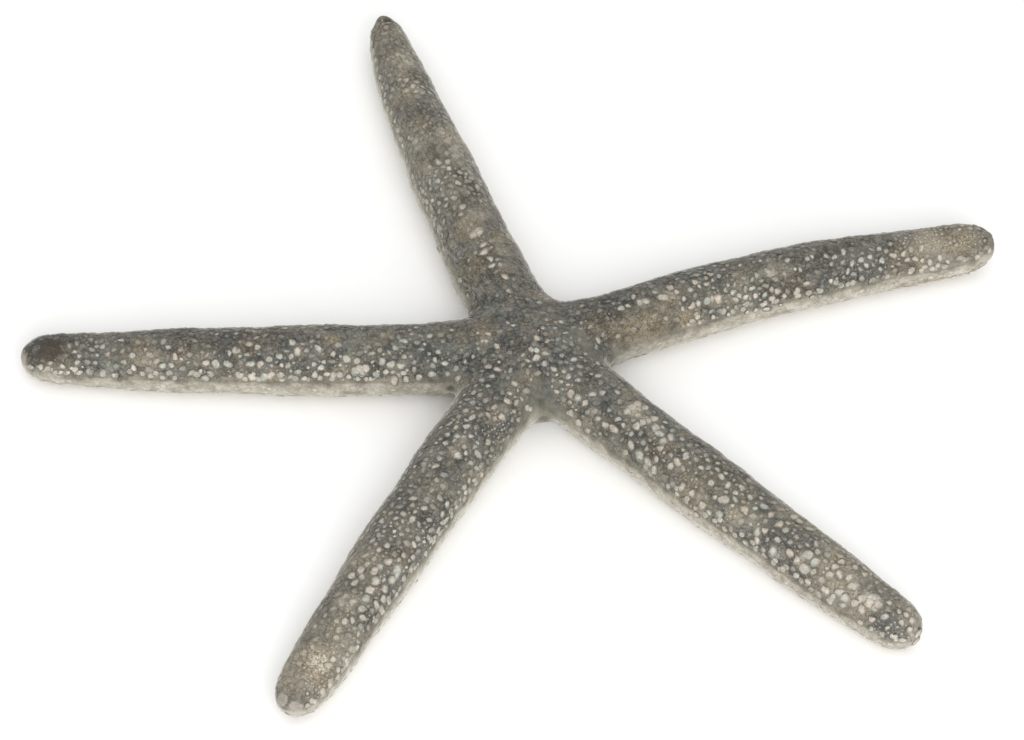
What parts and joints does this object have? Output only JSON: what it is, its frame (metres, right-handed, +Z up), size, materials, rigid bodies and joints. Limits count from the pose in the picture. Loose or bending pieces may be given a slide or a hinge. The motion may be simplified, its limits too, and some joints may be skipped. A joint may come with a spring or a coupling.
{
  "type": "dried starfish",
  "caption": "Dried finger sea star: a small domed disc with long, round, blunt arms, a furrow under each arm and a mouth in the middle of its flat underside.",
  "frame": {"origin": "middle of the bounding box in plan, at the height of the surface that the star rests on", "axes": "+Z up from the flat underside through the arched back, +X towards the right arms as the picture shows them, +Y away from the picture's viewer"},
  "size_m": [0.1878, 0.1782, 0.0135],
  "materials": {
    "skin": "dry, rough, chalky skin: dark slate grey mottled with brown, with pale roundish plates in loose rows along the arms and a paler beige flank"
  },
  "bodies": {
    "root": {"starfish": "skin"}
  },
  "joints": []
}
